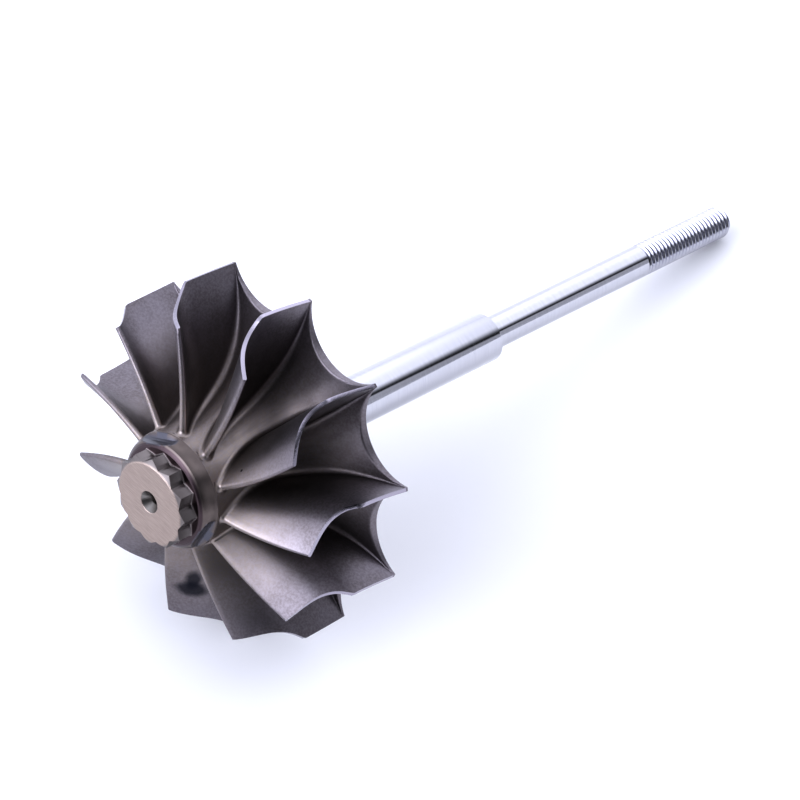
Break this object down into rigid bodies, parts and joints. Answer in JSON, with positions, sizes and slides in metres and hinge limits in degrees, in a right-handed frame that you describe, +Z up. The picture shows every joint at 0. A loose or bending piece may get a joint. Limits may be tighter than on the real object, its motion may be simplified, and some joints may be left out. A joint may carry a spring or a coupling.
{
  "type": "turbocharger turbine wheel",
  "caption": "Radial-inflow turbine wheel with curved blades, a scalloped back disc and a twelve-point nose, on a slim ground shaft with a threaded end, lying at rest.",
  "frame": {"origin": "centre of the base of the bounding box, on the floor that the wheel lies on", "axes": "+Z up; +Y along the rotor seen from above, from the nose toward the threaded end, which slopes down 13.5 degrees to the floor; +X to the right seen from the nose"},
  "size_m": [0.0844, 0.1894, 0.0843],
  "materials": {
    "cast_alloy": "shot-blasted investment casting, matte brownish grey",
    "ground_nose": "ground nose face and collar, satin with fine machining marks",
    "ground_steel": "finely ground, almost mirror bright",
    "thread_steel": "bright rolled thread"
  },
  "bodies": {
    "root": {"hub": "cast_alloy", "back_disc": "cast_alloy", "blade_01": "cast_alloy", "blade_02": "cast_alloy", "blade_03": "cast_alloy", "blade_04": "cast_alloy", "blade_05": "cast_alloy", "blade_06": "cast_alloy", "blade_07": "cast_alloy", "blade_08": "cast_alloy", "blade_09": "cast_alloy", "blade_10": "cast_alloy", "blade_11": "cast_alloy", "nose_drive": "ground_nose", "nose_collar": "ground_nose", "seal_boss": "ground_steel", "shaft_neck": "ground_steel", "bearing_journal": "ground_steel", "compressor_shank": "ground_steel", "threaded_end": "thread_steel"}
  },
  "joints": []
}
